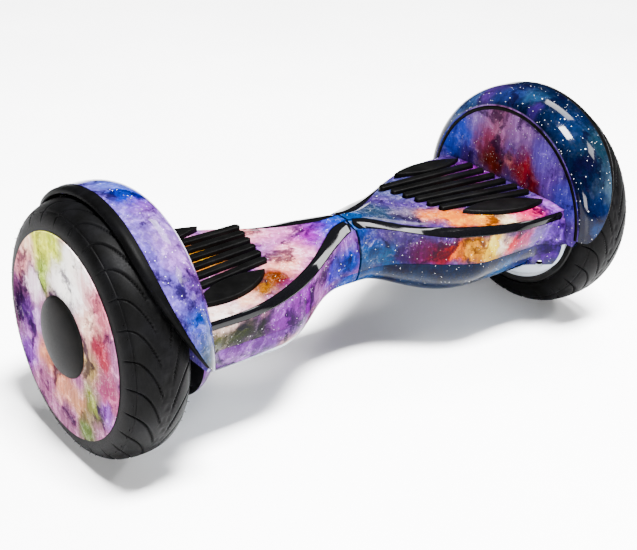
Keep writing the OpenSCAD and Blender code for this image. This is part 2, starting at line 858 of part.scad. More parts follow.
rim_cover(RIGHT);  // right_rim_cover
hub_cap(RIGHT);  // right_hub_cap
waist_shaft();
waist_bushes();
waist_stop_pin();
waist_circlip();
waist_seal();
waist_harness();
battery_pack();
battery_bracket();
main_board();
charge_socket();
socket_cap();
power_switch();
power_button();
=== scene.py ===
"""Self-balancing board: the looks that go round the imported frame.

Lengths inside the shape functions are millimetres in the row frame, and become metres when a mesh is made.
"""
import json
import math
import random

import bmesh
import bpy
from mathutils import Matrix, Vector


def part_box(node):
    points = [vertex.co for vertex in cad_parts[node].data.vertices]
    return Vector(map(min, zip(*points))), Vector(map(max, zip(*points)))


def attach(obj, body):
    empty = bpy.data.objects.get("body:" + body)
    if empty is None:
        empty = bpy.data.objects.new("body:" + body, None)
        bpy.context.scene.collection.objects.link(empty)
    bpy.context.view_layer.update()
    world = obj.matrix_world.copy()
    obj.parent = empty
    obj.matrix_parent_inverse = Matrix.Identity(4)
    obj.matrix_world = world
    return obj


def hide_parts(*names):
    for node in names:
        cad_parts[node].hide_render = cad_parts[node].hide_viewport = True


MM = 0.001
LEFT = -1
RIGHT = 1
SIDES = {LEFT: "left", RIGHT: "right"}
FRONT = -1
REAR = 1
ENDS = {FRONT: "front", REAR: "rear"}

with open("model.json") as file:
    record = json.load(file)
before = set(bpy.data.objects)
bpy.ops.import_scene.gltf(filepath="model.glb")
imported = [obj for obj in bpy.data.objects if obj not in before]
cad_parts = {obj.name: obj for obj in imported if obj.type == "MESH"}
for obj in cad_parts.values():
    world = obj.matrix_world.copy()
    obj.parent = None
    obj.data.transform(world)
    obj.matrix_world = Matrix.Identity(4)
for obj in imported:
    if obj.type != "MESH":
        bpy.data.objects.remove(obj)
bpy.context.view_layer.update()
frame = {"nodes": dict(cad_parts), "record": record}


# ---------------------------------------------------------------- sizes taken from the frame

def corners(node):
    """Lowest and highest corner of a CAD node, in millimetres."""
    low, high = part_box(node)
    return low / MM, high / MM


UPPER_LOW, UPPER_HIGH = corners("right_upper_shell")
_, LOWER_HIGH = corners("right_lower_shell")
TYRE_LOW, TYRE_HIGH = corners("right_tyre")
_, FENDER_HIGH = corners("right_fender")
PAD_LOW, PAD_HIGH = corners("right_foot_pad")
COVER_LOW, COVER_HIGH = corners("right_rim_cover")
_, HUB_HIGH = corners("right_hub_cap")
_, LIP_HIGH = corners("right_fender_lip")
SOCKET_LOW, SOCKET_HIGH = corners("charge_socket")
BUTTON_LOW, BUTTON_HIGH = corners("power_button")

AXLE_Z = (TYRE_LOW.z + TYRE_HIGH.z) / 2
WHEEL_X = (TYRE_LOW.x + TYRE_HIGH.x) / 2
TYRE_R = TYRE_HIGH.z - AXLE_Z
TYRE_W = TYRE_HIGH.x - TYRE_LOW.x
RIM_R = COVER_HIGH.z - AXLE_Z - 1
HALF_L = LOWER_HIGH.x
WAIST_GAP = UPPER_LOW.x
SEAM_Z = UPPER_LOW.z
WAIST_RISE = 10
DECK_Z = UPPER_HIGH.z - WAIST_RISE
FENDER_R = FENDER_HIGH.z - AXLE_Z
FENDER_EDGE = FENDER_HIGH.x
LIP_TIP = LIP_HIGH.x
RIB_TOP = PAD_HIGH.z
PORT_X = (SOCKET_LOW.x + SOCKET_HIGH.x) / 2
PORT_Y = BUTTON_HIGH.y - 3
PORT_Z = (BUTTON_LOW.z + BUTTON_HIGH.z) / 2
BUTTON_X = (BUTTON_LOW.x + BUTTON_HIGH.x) / 2

# Body outline, the same rules as the CAD
FLARE_L = 30
FLARE_W = 16
FLARE_D = 12
SEAM_HALF = UPPER_HIGH.y - FLARE_W
DECK_HALF = 95
TRIM_HALF = 97
WAIST_HALF = 31.5
WAIST_TOP_HALF = 6
WAIST_TRIM_HALF = 22
EDGE_DROP = 2.5
TRIM_Z = 148
WAIST_TRIM_RISE = 16
BELLY_D = 55
WAIST_BELLY = 23
WALL = 3
TRIM_RECESS = 1.8


def clamp01(t):
    return min(max(t, 0.0), 1.0)


def smooth(t):
    """Eases from 0 to 1 while t goes from 0 to 1."""
    u = clamp01(t)
    return u * u * (3 - 2 * u)


def soft(t):
    """t above 0 and 0 below it, with the corner rounded off."""
    return (t + math.sqrt(t * t + 0.003)) / 2


def arch(t):
    """Climbs from 0 to 1 and levels out, as a quarter of a sine wave."""
    return math.sin(math.pi / 2 * clamp01(t))


def mix(a, b, t):
    """The number t of the way from a to b."""
    return a + (b - a) * t


def mix2(a, b, t):
    return (mix(a[0], b[0], t), mix(a[1], b[1], t))


def bend(a, k, b, t):
    """Point at t on the quadratic curve from a to b, drawn towards k."""
    u = 1 - t
    return tuple(u * u * p + 2 * t * u * q + t * t * r for p, q, r in zip(a, k, b))


def flare(x):
    """How far the shell has opened towards the wheel, from 0 to 1."""
    return smooth((x - HALF_L + FLARE_L) / FLARE_L)


def seam_at(x):
    """Half width at the seam between the two shells."""
    return mix(WAIST_HALF, SEAM_HALF, smooth((x - 20) / 118)) + FLARE_W * flare(x)


def edge_at(x):
    """Half width of the deck, up to the trim."""
    return mix(WAIST_TOP_HALF, DECK_HALF, arch(soft((x - 22) / 190)))


def trim_at(x):
    """Half width at the trim's lower edge."""
    return mix(WAIST_TRIM_HALF, TRIM_HALF, arch(x / 200) ** 1.25)


def top_at(x):
    """Height of the middle of the deck."""
    return DECK_Z + WAIST_RISE * (1 - smooth(x / 85))


def edge_z_at(x):
    """Height of the deck's edge."""
    return top_at(x) - EDGE_DROP * smooth(x / 60)


def trim_z_at(x):
    """Height of the trim's lower edge."""
    return TRIM_Z + WAIST_TRIM_RISE * (1 - smooth(x / 110))


def belly_at(x):
    """Depth of the lower shell under the seam."""
    return mix(WAIST_BELLY, BELLY_D, smooth((x - 10) / 110)) + FLARE_D * flare(x)


def trim_inward(x):
    """Unit vector into the body, square to the trim's face."""
    dy = trim_at(x) - edge_at(x)
    dz = trim_z_at(x) - edge_z_at(x)
    length = math.hypot(dy, dz)
    return (dz / length, -dy / length)


def side_wall(x, t):
    """Point at t on the wall, from the trim down to the seam."""
    straight = ((trim_at(x) + seam_at(x)) / 2 + 2, (TRIM_Z + SEAM_Z) / 2)
    control = mix2((38, 143), straight, smooth(x / 110))
    return bend((trim_at(x), trim_z_at(x)), control, (seam_at(x), SEAM_Z), t)


# ---------------------------------------------------------------- mesh helpers

def add_object(name, data):
    item = bpy.data.objects.new(name, data)
    bpy.context.scene.collection.objects.link(item)
    return item


def build_mesh(name, points, faces):
    """A mesh in metres from points in millimetres, with its faces turned outwards."""
    mesh = bpy.data.meshes.new(name)
    mesh.from_pydata([Vector(p) * MM for p in points], [], faces)
    clean = bmesh.new()
    clean.from_mesh(mesh)
    bmesh.ops.remove_doubles(clean, verts=clean.verts, dist=1e-6)
    bmesh.ops.recalc_face_normals(clean, faces=clean.faces)
    clean.to_mesh(mesh)
    clean.free()
    return mesh


def make_piece(name, points, faces, material, body, node=None, sharp=35):
    """A piece that rides on a body and stands for a CAD node. Edges over sharp degrees stay sharp."""
    mesh = build_mesh(name, points, faces)
    mesh.materials.append(material)
    piece = add_object(name, mesh)
    shade(piece, sharp)
    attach(piece, body)
    if node:
        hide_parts(node)
    return piece


def shade(piece, sharp):
    """Smooth shading, with edges over sharp degrees left sharp."""
    piece.data.shade_smooth()
    piece.data.set_sharp_from_angle(angle=math.radians(sharp))


def join(parts):
    """One list of points and faces from several."""
    points = []
    faces = []
    for part_points, part_faces in parts:
        start = len(points)
        points += part_points
        faces += [tuple(i + start for i in face) for face in part_faces]
    return points, faces


def tube(rings, closed_along=False, capped=True):
    """Faces over a stack of closed rings, which all have the same number of points."""
    n = len(rings[0])
    rows = len(rings)
    points = [p for ring in rings for p in ring]
    faces = []
    for i in range(rows if closed_along else rows - 1):
        a = i * n
        b = (i + 1) % rows * n
        faces += [(a + j, a + (j + 1) % n, b + (j + 1) % n, b + j) for j in range(n)]
    if capped and not closed_along:
        faces.append(tuple(range(n - 1, -1, -1)))
        faces.append(tuple((rows - 1) * n + j for j in range(n)))
    return points, faces


def cut(piece, cutter_points, cutter_faces, sharp=35):
    """Cuts a closed shape out of a piece."""
    cutter = add_object("cutter", build_mesh("cutter", cutter_points, cutter_faces))
    boolean = piece.modifiers.new("cut", "BOOLEAN")
    boolean.object = cutter
    boolean.operation = "DIFFERENCE"
    boolean.solver = "EXACT"
    graph = bpy.context.evaluated_depsgraph_get()
    finished = bpy.data.meshes.new_from_object(piece.evaluated_get(graph))
    piece.modifiers.clear()
    piece.data = finished
    bpy.data.objects.remove(cutter)
    shade(piece, sharp)


def spread(start, end, count):
    """count values from start to end, evenly spaced."""
    return [mix(start, end, i / (count - 1)) for i in range(count)]


def circle(x, y, r, count):
    """count points round a circle."""
    turns = spread(0, 2 * math.pi, count + 1)[:-1]
    return [(x + r * math.cos(t), y + r * math.sin(t)) for t in turns]


def prism(outline, low, high):
    """An (x, y) outline drawn out from one height to another."""
    return tube([[(x, y, z) for x, y in outline] for z in (low, high)])


def rod_y(x, start, end, z, r):
    """A rod along Y."""
    return tube([[(px, y, pz) for px, pz in circle(x, z, r, 48)] for y in (start, end)])


# ---------------------------------------------------------------- shader helpers

def colour(hex_code):
    """Scene-linear colour from an #rrggbb code."""
    def linear(v):
        return v / 12.92 if v <= 0.04045 else ((v + 0.055) / 1.055) ** 2.4
    channels = [int(hex_code[i:i + 2], 16) / 255 for i in (1, 3, 5)]
    return tuple(linear(v) for v in channels) + (1.0,)


class Nodes:
    """Short calls for building a node tree."""

    def __init__(self, name):
        self.material = bpy.data.materials.new(name)
        self.material.use_nodes = True
        self.tree = self.material.node_tree
        self.shader = self.tree.nodes["Principled BSDF"]

    def add(self, kind, **settings):
        node = self.tree.nodes.new(kind)
        for key, value in settings.items():
            setattr(node, key, value)
        return node

    def link(self, source, target):
        self.tree.links.new(source, target)

    def feed(self, socket, value):
        """Sets a socket to a value, or links an output to it."""
        if isinstance(value, bpy.types.NodeSocket):
            self.link(value, socket)
        else:
            socket.default_value = value

    def place(self):
        """Position on the piece in millimetres."""
        position = self.add("ShaderNodeTexCoord").outputs["Object"]
        return self.vector("MULTIPLY", position, (1 / MM, 1 / MM, 1 / MM))

    def vector(self, operation, a, b):
        node = self.add("ShaderNodeVectorMath", operation=operation)
        self.feed(node.inputs[0], a)
        self.feed(node.inputs[1], b)
        return node.outputs["Value" if operation == "DISTANCE" else "Vector"]

    def math(self, operation, a, b=0.0):
        node = self.add("ShaderNodeMath", operation=operation)
        self.feed(node.inputs[0], a)
        self.feed(node.inputs[1], b)
        return node.outputs[0]

    def noise(self, where, size, detail=4.0, roughness=0.55, distortion=0.0):
        """Noise whose features are about size millimetres across."""
        node = self.add("ShaderNodeTexNoise")
        self.feed(node.inputs["Vector"], where)
        node.inputs["Scale"].default_value = 1 / size
        node.inputs["Detail"].default_value = detail
        node.inputs["Roughness"].default_value = roughness
        node.inputs["Distortion"].default_value = distortion
        return node

    def fade(self, value, start, end, low=0.0, high=1.0):
        """Runs smoothly from low to high as value goes from start to end."""
        node = self.add("ShaderNodeMapRange", interpolation_type="SMOOTHSTEP")
        self.feed(node.inputs["Value"], value)
        node.inputs["From Min"].default_value = start
        node.inputs["From Max"].default_value = end
        node.inputs["To Min"].default_value = low
        node.inputs["To Max"].default_value = high
        return node.outputs["Result"]

    def blend(self, share, a, b, mode="MIX"):
        node = self.add("ShaderNodeMix", data_type="RGBA", blend_type=mode)
        self.feed(node.inputs["Factor"], share)
        self.feed(node.inputs["A"], a)
        self.feed(node.inputs["B"], b)
        return node.outputs["Result"]

    def split(self, vector):
        node = self.add("ShaderNodeSeparateXYZ")
        self.link(vector, node.inputs[0])
        return node.outputs

    def bump(self, height, strength, distance):
        """Raises the surface by up to distance millimetres."""
        node = self.add("ShaderNodeBump")
        self.link(height, node.inputs["Height"])
        node.inputs["Strength"].default_value = strength
        node.inputs["Distance"].default_value = distance * MM
        self.link(node.outputs["Normal"], self.shader.inputs["Normal"])

    def set(self, **values):
        """Feeds the shader's sockets, named with underscores for spaces."""
        for key, value in values.items():
            self.feed(self.shader.inputs[key.replace("_", " ")], value)


# ---------------------------------------------------------------- shells

STATIONS = 110    # cross sections along a shell or a trim
SEAM_GAP = 0.3
END_GAP = 0.3     # between the end of the upper shell and the fender's panel

# Screw wells under the lower shell: distance from the waist, distance from the middle, height of their top
SCREW_WELLS = ((118, 50, 86), (226, 82, 96))
WELL_R = 4.2

# Holes in the rear wall: x, radius and how deep they start behind the wall's face
REAR_HOLES = ((PORT_X, 8.3, 30), (PORT_X, 10.8, 0.8), (BUTTON_X, 7.3, 30))


def upper_half(x):
    """Half of the upper shell's outside, from the middle of the deck to the seam, as (y, z)."""
    edge = (edge_at(x), edge_z_at(x))
    low = (trim_at(x), trim_z_at(x))
    inward = trim_inward(x)
    top = top_at(x)
    flat_share = 0.72
    deck = []
    for t in spread(0, 1, 22):
        fall = smooth((t - flat_share) / (1 - flat_share))
        deck.append((edge[0] * t, mix(top, edge[1], fall)))
    floor = [(p[0] + TRIM_RECESS * inward[0], p[1] + TRIM_RECESS * inward[1])
             for p in (edge, mix2(edge, low, 0.5), low)]
    wall = [side_wall(x, t) for t in spread(0, 1, 18)]
    return deck + floor + wall


def shrink(half, x):
    """The inside of a shell, from its outside."""
    sy = 1 - WALL / seam_at(x)
    sz = 1 - WALL / (top_at(x) - SEAM_Z)
    return [(y * sy, SEAM_Z + (z - SEAM_Z) * sz) for y, z in half]


def both_sides(half):
    """A half outline with its mirror image before it."""
    return [(-y, z) for y, z in reversed(half[1:])] + half


def lower_arc(x, inset):
    """Half an ellipse under the seam, as (y, z)."""
    w = seam_at(x) - inset
    d = belly_at(x) - inset
    return [(w * math.cos(f), SEAM_Z - SEAM_GAP - d * math.sin(f)) for f in spread(0, math.pi, 41)]


def shell_mesh(side, xs, outside, inside):
    """Skin between two stacks of (y, z) outlines, one for each x, with a rim at both ends."""
    rings = []
    for x, outer, inner in zip(xs, outside, inside):
        rings.append([(side * x, y, z) for y, z in outer + inner[::-1]])
    points, faces = tube(rings, capped=False)
    n = len(rings[0])
    for start in (0, len(points) - n):
        for j in range(n // 2 - 1):
            faces.append((start + j, start + j + 1, start + n - 2 - j, start + n - 1 - j))
    return points, faces


def upper_shell(side, material):
    xs = spread(WAIST_GAP, HALF_L - END_GAP, STATIONS)
    outside = [both_sides(upper_half(x)) for x in xs]
    inside = [both_sides(shrink(upper_half(x), x)) for x in xs]
    points, faces = shell_mesh(side, xs, outside, inside)
    name = SIDES[side]
    piece = make_piece(f"{name}_deck_shell", points, faces, material, f"{name}_half",
                       f"{name}_upper_shell")
    slots = join([prism(slot, PAD_LOW.z, DECK_Z + 3) for slot in pad_shapes(side, RIB_CLEAR)])
    cut(piece, *slots)
    if side == RIGHT:
        for x, r, depth in REAR_HOLES:
            cut(piece, *rod_y(x, PORT_Y - depth, PORT_Y + 12, PORT_Z, r))


def lower_shell(side, material):
    xs = spread(WAIST_GAP, HALF_L, STATIONS)
    outside = [lower_arc(x, 0) for x in xs]
    inside = [lower_arc(min(x, HALF_L - WALL), WALL) for x in xs]
    points, faces = shell_mesh(side, xs, outside, inside)
    last_inside_row = tuple(range(len(points) - len(inside[-1]), len(points)))
    faces.append(last_inside_row)    # the wall that shuts the wheel end
    name = SIDES[side]
    piece = make_piece(f"{name}_belly_shell", points, faces, material, f"{name}_half",
                       f"{name}_lower_shell")
    wells = []
    for end in (FRONT, REAR):
        for x, y, top in SCREW_WELLS:
            wells.append(prism(circle(side * x, end * y, WELL_R, 24), 0, top))
    cut(piece, *join(wells))


# ---------------------------------------------------------------- trims

TRIM_START = 3
TRIM_END = HALF_L - 4

# A trim's section: share of the way from the deck's edge to the lower edge, and height over the shell
TRIM_PROFILE = ((0.03, -1.5), (0.03, -0.2), (0.06, 0.3), (0.16, 0.75), (0.36, 1.12), (0.44, 1.2),
                (0.52, 1.12), (0.75, 0.7), (0.92, 0.3), (0.97, -0.2), (0.97, -1.5))


def trim_section(x, keep):
    """Closed section of a trim on the +Y side, drawn together about its middle where keep is below 1."""
    edge = (edge_at(x), edge_z_at(x))
    low = (trim_at(x), trim_z_at(x))
    inward = trim_inward(x)
    section = []
    for t, out in TRIM_PROFILE:
        y, z = mix2(edge, low, mix(0.5, t, keep))
        rise = out if out < 0 else out * keep
        section.append((y - rise * inward[0], z - rise * inward[1]))
    return section


def deck_trim(side, end, material):
    """The black strip along the front or the rear edge of a deck."""
    xs = spread(TRIM_START, TRIM_END, STATIONS)
    rings = []
    for i, x in enumerate(xs):
        from_tip = min(i, STATIONS - 1 - i)
        narrowing = 0.75 * max(0.0, 1 - from_tip / 2) ** 2
        ring = trim_section(x, 1 - narrowing)
        rings.append([(side * x, end * y, z) for y, z in ring])
    points, faces = tube(rings)
    name = SIDES[side]
    place = ENDS[end]
    make_piece(f"{name}_{place}_strip", points, faces, material, f"{name}_half",
               f"{name}_{place}_trim", sharp=22)


# ---------------------------------------------------------------- fender

RING_W = 4.5
WEB_R = 115
BAND_R = WEB_R + RING_W / 2
FENDER_ROUND = 34
FENDER_T = 3
GROOVE_D = 2
WEB_T = 3.5
AXLE_HOLE_R = 9.5      # half-round hole in the panel
TURNS = 180            # steps round the half circle of a fender
EDGE_RISE = 120        # height over the axle at which the outer edge has reached its full width


def edge_x(h):
    """X of the fender's outer edge at a height over the axle."""
    return mix(HALF_L + 6, FENDER_EDGE, arch(h / EDGE_RISE) ** 0.8)


def band_point(x, t):
    """Radius of the fender's outside, t under it, at x."""
    across = clamp01((HALF_L + FENDER_ROUND - x) / (FENDER_ROUND - t))
    return BAND_R + (FENDER_R - BAND_R - t) * math.sqrt(1 - across * across)


def edge_end(turn):
    """X where the fender ends at an angle over the rear of the axle, closed in on step by step."""
    x = FENDER_EDGE
    for _ in range(12):
        x = min(edge_x(band_point(x, 0) * math.sin(turn)), FENDER_EDGE)
    return x


def around(side, turn, r, x):
    """Point at radius r about the axle, turned up from the rear."""
    return (side * x, r * math.cos(turn), AXLE_Z + r * math.sin(turn))


def fender_ring(turn):
    """Closed section of the fender and its panel at an angle over the axle, as (radius, x)."""
    end = edge_end(turn)
    web = HALF_L + WEB_T
    steps = [1 - math.cos(math.pi / 2 * t) for t in spread(0, 1, 26)]
    panel = [(AXLE_HOLE_R, web), (AXLE_HOLE_R, HALF_L), (BAND_R - RING_W, HALF_L)]
    bottom = HALF_L + GROOVE_D
    ring_groove = [(BAND_R - RING_W, bottom), (BAND_R, bottom)]
    outer = [(band_point(mix(HALF_L, end, s), 0), mix(HALF_L, end, s)) for s in steps]
    edge = [(band_point(end, 0) - 1.2, end), (band_point(end, FENDER_T), end)]
    inner = [(band_point(mix(web, end, s), FENDER_T), mix(web, end, s)) for s in reversed(steps[1:-1])]
    return panel + ring_groove + outer + edge + inner + [(BAND_R, web)]


def panel_foot(side):
    """The part of the panel between the axle's height and the seam."""
    foot_half = math.sqrt((BAND_R - RING_W) ** 2 - (AXLE_Z - SEAM_Z) ** 2)
    near = side * HALF_L
    far = side * (HALF_L + WEB_T)
    rings = []
    for half, z in ((BAND_R, AXLE_Z - 0.01), (foot_half, SEAM_Z)):
        rings.append([(near, -half, z), (near, half, z), (far, half, z), (far, -half, z)])
    return tube(rings)


def fender(side, material, panel_material):
    rings = []
    for turn in spread(0, math.pi, TURNS):
        rings.append([around(side, turn, r, x) for r, x in fender_ring(turn)])
    points, faces = join([tube(rings), panel_foot(side)])
    name = SIDES[side]
    piece = make_piece(f"{name}_wheel_fender", points, faces, material, f"{name}_half",
                       f"{name}_fender")
    piece.data.materials.append(panel_material)
    for face in piece.data.polygons:
        if abs(face.center.x) < (HALF_L + 0.1) * MM:
            face.material_index = 1


def lip_section(turn):
    """Closed section of the lip at an angle over the axle, as (radius, x)."""
    end = edge_end(turn)
    width = (LIP_TIP - FENDER_EDGE) * mix(0.15, 1, smooth(FENDER_R * math.sin(turn) / EDGE_RISE))
    top = min(FENDER_R - 0.6, band_point(end, 0) - 0.6)
    under = min(top - 2.6, FENDER_R - FENDER_T - 0.5)
    low = min(TYRE_R + 3, under - 1.5)
    root = [(low, end - 3), (under, end - 3), (under, end + 0.2), (top, end + 0.25)]
    face = ((1, 0.35), (0.93, 0.62), (0.72, 0.85), (0.42, 0.97), (0.1, 1), (0, 0.94))
    return root + [(mix(low, top, height), end + width * out) for height, out in face]


def fender_lip(side, material):
    rings = []
    for turn in spread(0.06, math.pi - 0.06, TURNS):
        rings.append([around(side, turn, r, x) for r, x in lip_section(turn)])
    points, faces = tube(rings)
    name = SIDES[side]
    make_piece(f"{name}_arch_lip", points, faces, material, f"{name}_half",
               f"{name}_fender_lip", sharp=40)


def trim_ring(side, material):
    """Half-round black cord in the groove round the panel."""
    middle = BAND_R - RING_W / 2
    half = RING_W / 2 - 0.1
    section = [(middle + half * math.cos(t), HALF_L - math.sin(t)) for t in spread(0, math.pi, 9)]
    section += [(middle - half, HALF_L + GROOVE_D), (middle + half, HALF_L + GROOVE_D)]
    rings = []
    for turn in spread(0, math.pi, TURNS):
        rings.append([around(side, turn, r, x) for r, x in section])
    points, faces = tube(rings)
    name = SIDES[side]
    make_piece(f"{name}_panel_ring", points, faces, material, f"{name}_half",
               f"{name}_trim_ring", sharp=50)


# ---------------------------------------------------------------- foot pad

RIBS = 6
RIB_W = 9.6
RIB_END = 232
RIB_CLEAR = 0.5
RIB_ROLL = 1.6       # radius of a rib's rolled upper edge

# Leaves beside the ribs: middle, half length, half width and slope in degrees
LEAVES = (((182, -57.5), 51, 15.5, -15), ((184, 71), 49, 12, -2))

# Outline of the mat that joins the ribs and leaves under the deck
MAT = ((94, 46), (118, 62), (134, 69), (160, 80), (184, 84), (234, 83),
       (234, -79), (150, -68), (128, -50), (112, -32), (94, -14))
MAT_DROP = 11        # from the ribs' tops down to their feet in the mat
MAT_T = 2.2


def capsule(start, end, r):
    """Outline of a bar with round ends."""
    heading = math.atan2(end[1] - start[1], end[0] - start[0])
    outline = []
    for middle, first in ((end, heading - math.pi / 2), (start, heading + math.pi / 2)):
        for t in spread(0, math.pi, 13):
            outline.append((middle[0] + r * math.cos(first + t), middle[1] + r * math.sin(first + t)))
    return outline


def leaf(middle, half_length, half_width, slope):
    """Two arcs that meet in a point at each end."""
    r = (half_length ** 2 + half_width ** 2) / (2 * half_width)
    reach = math.asin(half_length / r)
    tilt = math.radians(slope)
    outline = []
    for sign in (1, -1):
        for t in spread(-reach, reach, 25)[:-1]:
            x = -sign * r * math.sin(t)
            y = sign * (r * math.cos(t) - r + half_width)
            outline.append((middle[0] + x * math.cos(tilt) - y * math.sin(tilt),
                            middle[1] + x * math.sin(tilt) + y * math.cos(tilt)))
    return outline


def pad_shapes(side, extra):
    """Outlines of a pad's ribs and leaves, grown by extra."""
    shapes = []
    for t in spread(0, 1, RIBS):
        start = (mix(101, 122, t), mix(52.5, -24.5, t))
        end = (RIB_END, mix(49.5, -42, t))
        shapes.append(capsule(start, end, RIB_W / 2 + extra))
    for middle, length, width, slope in LEAVES:
        shapes.append(leaf(middle, length + extra, width + extra, slope))
    return [[(side * x, y) for x, y in shape] for shape in shapes]


def foot_pad(side, material):
    """Ribs and leaves with rolled edges, standing up through the deck from the mat under it."""
    base = RIB_TOP - MAT_DROP
    profile = [(0, base), (0, RIB_TOP - RIB_ROLL)]
    for t in spread(0, math.pi / 2, 6)[1:]:
        profile.append((RIB_ROLL * (1 - math.cos(t)), RIB_TOP - RIB_ROLL + RIB_ROLL * math.sin(t)))
    rows = [(pad_shapes(side, -inset), z) for inset, z in profile]
    solids = []
    for k in range(RIBS + len(LEAVES)):
        solids.append(tube([[(x, y, z) for x, y in shapes[k]] for shapes, z in rows]))
    solids.append(prism([(side * x, y) for x, y in MAT], base - 0.2, base + MAT_T))
    points, faces = join(solids)
    name = SIDES[side]
    make_piece(f"{name}_pad_ribs", points, faces, material, f"{name}_pad",
               f"{name}_foot_pad", sharp=40)


# ---------------------------------------------------------------- wheel

TREAD_TURNS = 1440    # steps round the tyre
TREAD_ACROSS = 96     # steps over its crown
SIPES = 26            # curved cuts to the turn, on either side
SIPE_DEPTH = 2.2
SIPE_W = 2.6
SIPE_OUT = 34         # distances from the middle plane between which a sipe runs
SIPE_IN = 3
SIPE_SWEEP = 50       # how far a sipe trails round the tyre
SIPE_CURVE = 2.4      # power of its curve
SHOULDER_GROOVE = 27  # distance of the shoulder groove from the middle plane
HAIRS = 48            # moulding hairs on a shoulder


def groove(distance, width):
    """1 in the middle of a groove, 0 past its edges."""
    return 1 - smooth(abs(distance) / (width / 2))


def tread_depth(turn, u):
    """How far the tread is cut down at an angle and a distance u from the middle plane."""
    v = abs(u)
    wave = 2.2 + 0.8 * math.sin(turn * SIPES)
    depth = groove(v - SHOULDER_GROOVE, 1.6) + 0.7 * groove(v - wave, 1.2)
    if SIPE_IN < v < SIPE_OUT:
        t = (SIPE_OUT - v) / (SIPE_OUT - SIPE_IN)
        pitch = 2 * math.pi / SIPES
        centre = SIPE_SWEEP / TYRE_R * t ** SIPE_CURVE
        slope = SIPE_SWEEP * SIPE_CURVE * t ** (SIPE_CURVE - 1) / (SIPE_OUT - SIPE_IN)
        offset = 0 if u > 0 else pitch / 2
        gap = (turn - centre + offset + pitch / 2) % pitch - pitch / 2
        distance = gap * TYRE_R / math.sqrt(1 + slope * slope)
        ends = smooth(t / 0.12) * smooth((1 - t) / 0.15)
        depth += SIPE_DEPTH * groove(distance, SIPE_W) * ends
    return depth


def tyre_ring(f):
    """Radius and distance from the middle plane at an angle from the inner bead over the crown."""
    h = TYRE_R - RIM_R
    sign = 1 if math.cos(f) > 0 else -1
    return RIM_R + h * math.sin(f) ** 0.86, -TYRE_W / 2 * sign * abs(math.cos(f)) ** 0.8


def tyre(side, material):
    profile = [tyre_ring(f) for f in spread(0.0, math.pi, TREAD_ACROSS)]
    inner = [(RIM_R, TYRE_W / 2 - 6), (RIM_R, 6 - TYRE_W / 2)]
    rings = []
    for k in range(TREAD_TURNS):
        turn = 2 * math.pi * k / TREAD_TURNS
        ring = [around(side, turn, r - tread_depth(turn, u), WHEEL_X + u) for r, u in profile]
        ring += [around(side, turn, r, WHEEL_X + u) for r, u in inner]
        rings.append(ring)
    points, faces = tube(rings, closed_along=True)
    name = SIDES[side]
    make_piece(f"{name}_tread_tyre", points, faces, material, f"{name}_wheel",
               f"{name}_tyre", sharp=50)


def vent_hairs(side, material):
    """Short moulding hairs that stand out of both shoulders."""
    rng = random.Random(7 + side)
    solids = []
    r, u = tyre_ring(0.62)
    for edge in (-1, 1):
        x = WHEEL_X + edge * abs(u)
        for k in range(HAIRS):
            turn = 2 * math.pi * (k + rng.uniform(-0.2, 0.2)) / HAIRS
            length = rng.uniform(1.6, 3.2)
            lean = rng.uniform(-0.4, 0.4) * length / r
            foot = Vector(around(side, turn, r - 0.3, x))
            tip = Vector(around(side, turn + lean, r + 0.55 * length, x + edge * 0.8 * length))
            solids.append(spike(foot, tip, 0.38))
    points, faces = join(solids)
    name = SIDES[side]
    make_piece(f"{name}_tyre_hairs", points, faces, material, f"{name}_wheel")


def spike(foot, tip, r):
    """A five-sided cone."""
    axis = (tip - foot).normalized()
    across = axis.orthogonal()
    over = axis.cross(across)
    base = [tuple(foot + across * a + over * b) for a, b in circle(0, 0, r, 5)]
    n = len(base)
    return base + [tuple(tip)], [(j, (j + 1) % n, n) for j in range(n)] + [tuple(range(n))]


def spin(side, profile, steps=160):
    """Turns a closed profile of (radius, x) about the wheel's axle."""
    turns = spread(0, 2 * math.pi, steps + 1)[:-1]
    return tube([[around(side, turn, r, x) for r, x in profile] for turn in turns], closed_along=True)


def wheel_disc(side, material):
    face = COVER_HIGH.x
    back = COVER_LOW.x
    hub_r = HUB_HIGH.z - AXLE_Z - 2
    seat = WHEEL_X + TYRE_W / 2 + 0.3
    profile = [(hub_r, back), (RIM_R - 0.6, back), (RIM_R - 0.6, seat), (RIM_R + 1, seat)]
    profile += [(RIM_R + math.cos(t), face - 1 + math.sin(t)) for t in spread(0.2, math.pi / 2, 5)]
    profile += [(hub_r, face)]
    points, faces = spin(side, profile, 240)
    name = SIDES[side]
    make_piece(f"{name}_printed_disc", points, faces, material, f"{name}_wheel",
               f"{name}_rim_cover", sharp=50)


def hub_dome(side, material):
    r = HUB_HIGH.z - AXLE_Z
    base = COVER_HIGH.x + 0.3
    rise = HUB_HIGH.x - base
    profile = [(0.05, HUB_HIGH.x - 3), (r - 8, base - 2), (r - 2.2, base - 2), (r - 2.2, base)]
    profile += [(r * math.cos(t) + 0.05, base + rise * math.sin(t)) for t in spread(0, math.pi / 2, 24)]
    points, faces = spin(side, profile)
    name = SIDES[side]
    make_piece(f"{name}_hub_dome", points, faces, material, f"{name}_wheel",
               f"{name}_hub_cap", sharp=50)


# ---------------------------------------------------------------- materials

def star_field(n, place, size, share, width):
    """White specks about size millimetres apart, width of that across, in a share of the cells."""
    cells = n.add("ShaderNodeTexVoronoi", feature="F1")
    n.link(place, cells.inputs["Vector"])
    cells.inputs["Scale"].default_value = 1 / size
    speck = n.fade(cells.outputs["Distance"], width, 0.0)
    chance = n.split(cells.outputs["Color"])[0]
    return n.math("MULTIPLY", speck, n.fade(chance, 1 - share, 1 - share * 0.4))


WHITE = "#ffffff"
BLUSH = "#fbeef2"
SMOKE = "#160c30"
WANDER = 44    # how far the clouds' edges stray, in millimetres


